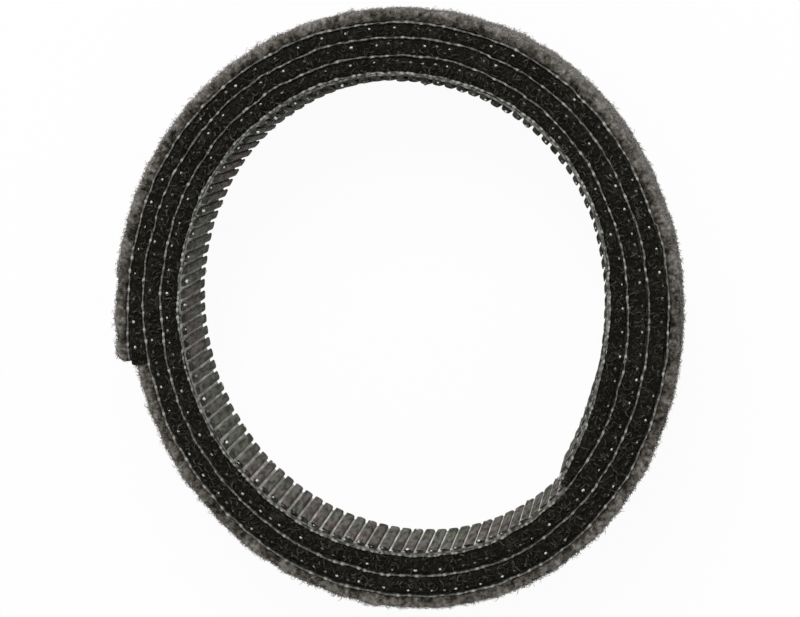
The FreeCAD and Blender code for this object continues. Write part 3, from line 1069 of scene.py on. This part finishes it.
class STRAP_OT_hook_tape(bpy.types.Operator):
    """Make the hook tape: its base, the rows of hooks and the tips at its edges, with painted glints"""

    bl_idname = "strap.hook_tape"
    bl_label = "Hook tape"

    def execute(self, context):
        sizes, colours = context.scene.strap_sizes, context.scene.strap_colours
        shapes = {
            "hook": new_object("shape_hook", hook_mesh(sizes)),
            "tip": new_object("shape_tip", tip_mesh(sizes)),
        }
        materials = {
            # The hook ends' material is painted shade, and the tips' material is painted glints.
            "hook": hook_material(colours), "end": hook_end_shade_material(colours),
            "tip": glint_material(colours),
            "base": base_material("hook_base", colours.base, 1500, 6, 0.45),
            "edge": base_material("base_edge", colours.base_edge, 2000, 1, 0.1),
        }
        tree = hook_tree()
        for span in SPANS:
            stops = [span.start, span.stop]
            if span.child is None:
                stops[1:1] = [COVERED_FROM, *np.linspace(COVERED_FROM, span.stop, 4)[1:-1]]
            for number, (start, stop) in enumerate(zip(stops, stops[1:])):
                part = span._replace(start=start, stop=stop)
                piece = make_hooks(f"hooks_{span.stem}_{number}", part, sizes, shapes, materials, tree)
                attach(piece, part, "hook_tape")
        discard(shapes)
        return {"FINISHED"}


# ---- stage


class StageSettings(bpy.types.PropertyGroup):
    """The camera, the floor and the lights."""

    camera_x: length_property("Camera x", "Camera to the right of the roll's middle", 33 * MM)
    camera_y: length_property("Camera y", "Camera to the far side of the roll's middle", 34.5 * MM)
    camera_height: length_property("Camera height", "Camera above the roll's upper edge", 380 * MM)
    aim_x: length_property("Aim x", "Aim to the right of the roll's middle", 0.55 * MM)
    aim_y: length_property("Aim y", "Aim to the far side of the roll's middle", 0.22 * MM)
    lens: FloatProperty(name="Lens", description="Focal length on a 36 mm sensor", default=145.0)
    key_power: FloatProperty(name="Key light", description="Its power, in watts", default=3.0)
    sky_strength: FloatProperty(name="Sky", description="Strength of the even light", default=0.58)
    floor_shade: FloatProperty(
        name="Floor shade", description="How strongly the shadow shows on the floor", default=0.05
    )


FLOOR_REACH = 1.5
KEY_PLACE, KEY_SIZE = (-0.1, 0.45, 0.5), 0.35


def add_camera(stage):
    camera = bpy.data.objects.new("camera", bpy.data.cameras.new("camera"))
    bpy.context.scene.collection.objects.link(camera)
    camera.data.sensor_width = 36
    camera.data.lens = stage.lens
    camera.data.clip_end = 10
    place = Vector((stage.camera_x, stage.camera_y, WIDTH + stage.camera_height))
    aim = (Vector((stage.aim_x, stage.aim_y, WIDTH)) - place).normalized()
    right = aim.cross(Vector((0, 1, 0))).normalized()
    turn = Matrix((right, right.cross(aim), -aim)).transposed()
    camera.matrix_world = Matrix.LocRotScale(place, turn, None)
    bpy.context.scene.camera = camera


def seen_directly(tree):
    """1 where the camera sees something, by itself or in a reflection or through glass."""
    path = node(tree, "ShaderNodeLightPath")
    seen = path["Is Camera Ray"]
    for kind in ("Is Glossy Ray", "Is Transmission Ray"):
        seen = maths(tree, "MAXIMUM", seen, path[kind])
    return seen


def add_sky(stage):
    world = bpy.data.worlds.new("sky")
    bpy.context.scene.world = world
    world.use_nodes = True
    tree = world.node_tree
    background = tree.nodes["Background"]
    background.inputs["Color"].default_value = (1, 1, 1, 1)
    strength = node(tree, "ShaderNodeMapRange", {
        "Value": seen_directly(tree), "To Min": stage.sky_strength, "To Max": 1,
    })
    tree.links.new(strength["Result"], background.inputs["Strength"])


def add_floor(stage):
    mesh = bpy.data.meshes.new("floor")
    reach = FLOOR_REACH
    corners = [(-reach, -reach, 0), (reach, -reach, 0), (reach, reach, 0), (-reach, reach, 0)]
    mesh.from_pydata(corners, [], [(0, 1, 2, 3)])
    floor = new_object("floor", mesh)
    material, tree, shader = new_material("floor", (0.85, 0.85, 0.85), 0.9, specular=0)
    glow = node(tree, "ShaderNodeEmission", {"Strength": 1.0})
    factor = maths(tree, "MULTIPLY", seen_directly(tree), 1 - stage.floor_shade)
    mix = node(tree, "ShaderNodeMixShader", {0: factor, 1: shader.outputs[0], 2: glow[0]})
    tree.links.new(mix[0], tree.nodes["Material Output"].inputs["Surface"])
    mesh.materials.append(material)


def add_light(name, place, size, power):
    """A square soft light that points at the roll."""
    light = bpy.data.lights.new(name, "AREA")
    light.size = size
    light.energy = power
    lamp = bpy.data.objects.new(name, light)
    bpy.context.scene.collection.objects.link(lamp)
    lamp.location = place
    lamp.rotation_euler = (-Vector(place)).to_track_quat("-Z", "Y").to_euler()


class STRAP_OT_stage(bpy.types.Operator):
    """Make the camera, the floor and the lights"""

    bl_idname = "strap.stage"
    bl_label = "Stage"

    def execute(self, context):
        stage = context.scene.strap_stage
        add_camera(stage)
        add_sky(stage)
        add_floor(stage)
        add_light("key", KEY_PLACE, KEY_SIZE, stage.key_power)
        context.scene.view_settings.view_transform = "Standard"
        return {"FINISHED"}


# ---- panel


class STRAP_PT_panel(bpy.types.Panel):
    """The strap's pieces, sizes and colours"""

    bl_label = "Strap roll"
    bl_idname = "STRAP_PT_panel"
    bl_space_type = "VIEW_3D"
    bl_region_type = "UI"
    bl_category = "Strap"

    def draw(self, context):
        for operator in OPERATORS:
            self.layout.operator(operator.bl_idname)
        for group in ("strap_sizes", "strap_colours", "strap_stage"):
            settings = getattr(context.scene, group)
            for name in settings.__annotations__:
                self.layout.prop(settings, name)


OPERATORS = (STRAP_OT_loop_tape, STRAP_OT_bond_film, STRAP_OT_hook_tape, STRAP_OT_stage)
CLASSES = (StrapSizes, StrapColours, StageSettings, *OPERATORS, STRAP_PT_panel)


def register():
    for item in CLASSES:
        bpy.utils.register_class(item)
    bpy.types.Scene.strap_sizes = PointerProperty(type=StrapSizes)
    bpy.types.Scene.strap_colours = PointerProperty(type=StrapColours)
    bpy.types.Scene.strap_stage = PointerProperty(type=StageSettings)


def unregister():
    del bpy.types.Scene.strap_sizes
    del bpy.types.Scene.strap_colours
    del bpy.types.Scene.strap_stage
    for item in reversed(CLASSES):
        bpy.utils.unregister_class(item)


def main():
    register()
    bpy.ops.strap.loop_tape()
    bpy.ops.strap.bond_film()
    bpy.ops.strap.hook_tape()
    bpy.ops.strap.stage()


if __name__ == "__main__":
    main()
